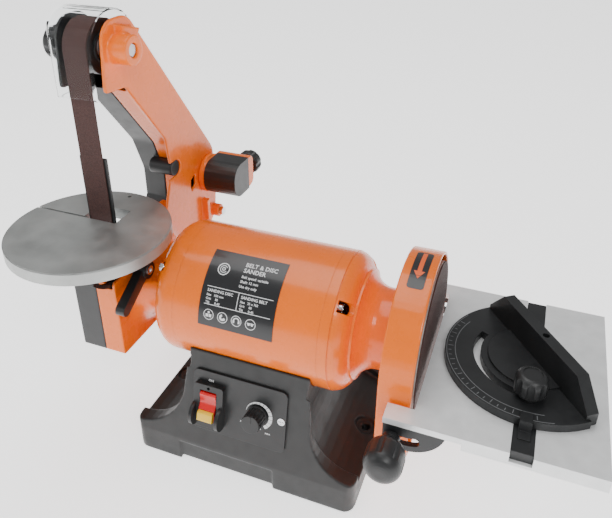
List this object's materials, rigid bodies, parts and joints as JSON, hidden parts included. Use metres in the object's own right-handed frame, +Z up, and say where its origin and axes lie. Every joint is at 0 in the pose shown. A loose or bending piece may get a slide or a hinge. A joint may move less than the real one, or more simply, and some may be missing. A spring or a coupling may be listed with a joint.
{
  "type": "belt disc sander",
  "caption": "Bench sander with a narrow upright belt and round table on one side, and a guarded sanding disc with a mitre-slot table on the other, driven by one motor on a cast base.",
  "frame": {"origin": "centre of the two base bolt holes, on the surface that the machine stands on", "axes": "+X along the motor shaft towards the disc, +Y to the back, +Z up"},
  "size_m": [0.566, 0.3285, 0.451],
  "materials": {
    "orange_paint": "gloss powder coat",
    "black_casting": "textured satin paint",
    "black_plastic": "satin moulded",
    "dark_metal": "satin",
    "rubber": "matte",
    "zinc": "bright zinc",
    "steel": "machined",
    "cast_aluminium": "satin cast",
    "bright_aluminium": "brushed",
    "abrasive": "grit on cloth",
    "clear_plastic": "clear",
    "red_plastic": "gloss",
    "yellow_plastic": "gloss",
    "label": "printed film",
    "copper": "enamelled wire",
    "circuit": "circuit board"
  },
  "bodies": {
    "frame": {"base_casting": "black_casting", "rubber_feet": "rubber", "bottom_plate": "zinc", "bottom_screws": "zinc", "control_panel": "black_plastic", "panel_screw": "zinc", "switch_housing": "black_plastic", "speed_pot": "steel", "speed_board": "circuit", "motor_shell": "orange_paint", "left_end_bell": "orange_paint", "right_end_bell": "orange_paint", "stator_core": "steel", "stator_windings": "copper", "motor_bearings": "steel", "through_bolts": "zinc", "cradle_bolts": "zinc", "nameplate": "label", "belt_arm": "orange_paint", "arm_bolts": "zinc", "top_axle": "steel", "tension_spring": "zinc", "sanding_belt": "abrasive", "platen": "dark_metal", "platen_bracket": "zinc", "platen_screws": "zinc", "disc_guard": "orange_paint", "guard_bolts": "zinc"},
    "rotor": {"rotor_core": "steel", "motor_shaft": "steel", "drive_wheel": "cast_aluminium", "drive_nut": "zinc", "sanding_disc": "cast_aluminium", "abrasive_disc": "abrasive"},
    "top_roller": {"top_roller": "dark_metal", "roller_bearings": "steel"},
    "tension_arm": {"tension_shaft": "steel", "tension_lever": "orange_paint", "tension_grip": "black_plastic"},
    "idler": {"idler_wheel": "rubber"},
    "tracking_knob": {"tracking_knob": "black_plastic"},
    "side_cover": {"side_cover": "black_plastic", "eye_guard": "clear_plastic"},
    "cover_knob": {"cover_knob": "black_plastic"},
    "belt_table": {"round_table": "cast_aluminium", "round_trunnion": "dark_metal", "round_screws": "zinc"},
    "lock_lever": {"lock_lever": "black_plastic", "lever_stud": "zinc"},
    "disc_table": {"disc_table": "bright_aluminium", "disc_trunnions": "dark_metal"},
    "tilt_knob": {"tilt_knob": "black_plastic"},
    "mitre_bar": {"mitre_bar": "dark_metal"},
    "mitre_head": {"mitre_head": "dark_metal"},
    "mitre_knob": {"mitre_knob": "black_plastic"},
    "switch_paddle": {"switch_paddle": "red_plastic"},
    "safety_key": {"safety_key": "yellow_plastic"},
    "speed_knob": {"speed_knob": "black_plastic", "knob_shaft": "steel"},
    "idler_carrier": {"idler_axle": "steel"}
  },
  "joints": [
    {"name": "motor_spin", "type": "hinge", "parent": "frame", "child": "rotor", "pos_m": [0, 0, 0.1635], "axis": [1, 0, 0], "continuous": true},
    {"name": "top_roller_spin", "type": "hinge", "parent": "frame", "child": "top_roller", "pos_m": [-0.1654, -0.013, 0.416], "axis": [1, 0, 0], "continuous": true},
    {"name": "tension_lever_swing", "type": "hinge", "parent": "frame", "child": "tension_arm", "pos_m": [-0.14, 0.133, 0.227], "axis": [1, 0, 0], "range_deg": [-20, 0], "stiffness_Nm_per_rad": 1.6, "springref_deg": 20.05},
    {"name": "idler_slide", "type": "slide", "parent": "frame", "child": "idler_carrier", "axis": [0, -0.9771, 0.213], "range_m": [0, 0.0025]},
    {"name": "idler_spin", "type": "hinge", "parent": "idler_carrier", "child": "idler", "pos_m": [-0.1654, 0.096, 0.212], "axis": [1, 0, 0], "continuous": true},
    {"name": "tracking_turn", "type": "hinge", "parent": "tension_arm", "child": "tracking_knob", "pos_m": [-0.104, 0.17, 0.228], "axis": [0, 1, 0], "range_deg": [-90, 90]},
    {"name": "cover_pull", "type": "slide", "parent": "frame", "child": "side_cover", "axis": [-1, 0, 0], "range_m": [0, 0.06]},
    {"name": "cover_knob_turn", "type": "hinge", "parent": "side_cover", "child": "cover_knob", "pos_m": [-0.2, -0.013, 0.416], "axis": [1, 0, 0], "range_deg": [0, 180]},
    {"name": "belt_table_tilt", "type": "hinge", "parent": "frame", "child": "belt_table", "pos_m": [-0.165, -0.04, 0.248], "axis": [1, 0, 0], "range_deg": [0, 45]},
    {"name": "lock_lever_turn", "type": "hinge", "parent": "frame", "child": "lock_lever", "pos_m": [-0.13, -0.02984, 0.19039], "axis": [1, 0, 0], "range_deg": [-25, 0]},
    {"name": "disc_table_tilt", "type": "hinge", "parent": "frame", "child": "disc_table", "pos_m": [0.166, 0, 0.157], "axis": [0, 1, 0], "range_deg": [0, 45]},
    {"name": "tilt_knob_turn", "type": "hinge", "parent": "frame", "child": "tilt_knob", "pos_m": [0.15548, -0.103, 0.13599], "axis": [0, 1, 0], "range_deg": [0, 180]},
    {"name": "mitre_slide", "type": "slide", "parent": "disc_table", "child": "mitre_bar", "axis": [0, 1, 0], "range_m": [-0.09, 0.09]},
    {"name": "mitre_swivel", "type": "hinge", "parent": "mitre_bar", "child": "mitre_head", "pos_m": [0.25775, 0.0045, 0.16], "axis": [0, 0, 1], "range_deg": [-4, 111]},
    {"name": "mitre_knob_turn", "type": "hinge", "parent": "mitre_bar", "child": "mitre_knob", "pos_m": [0.25775, -0.0445, 0.17], "axis": [0, 0, 1], "range_deg": [0, 180]},
    {"name": "switch_rock", "type": "hinge", "parent": "frame", "child": "switch_paddle", "pos_m": [-0.0325, -0.07908, 0.0833], "axis": [1, 0, 0], "range_deg": [-12, 0]},
    {"name": "key_pull", "type": "slide", "parent": "switch_paddle", "child": "safety_key", "axis": [0, -0.9795, 0.2014], "range_m": [0, 0.018]},
    {"name": "speed_turn", "type": "hinge", "parent": "frame", "child": "speed_knob", "pos_m": [0.019, -0.07652, 0.08583], "axis": [0, 0.9795, -0.2014], "range_deg": [-120, 150]}
  ],
  "couplings": [
    {"joint": "top_roller_spin", "follows": "motor_spin", "ratio": 1.52},
    {"joint": "idler_spin", "follows": "motor_spin", "ratio": 2.7143},
    {"joint": "idler_slide", "follows": "tension_lever_swing", "m_per_rad": -0.00716}
  ]
}
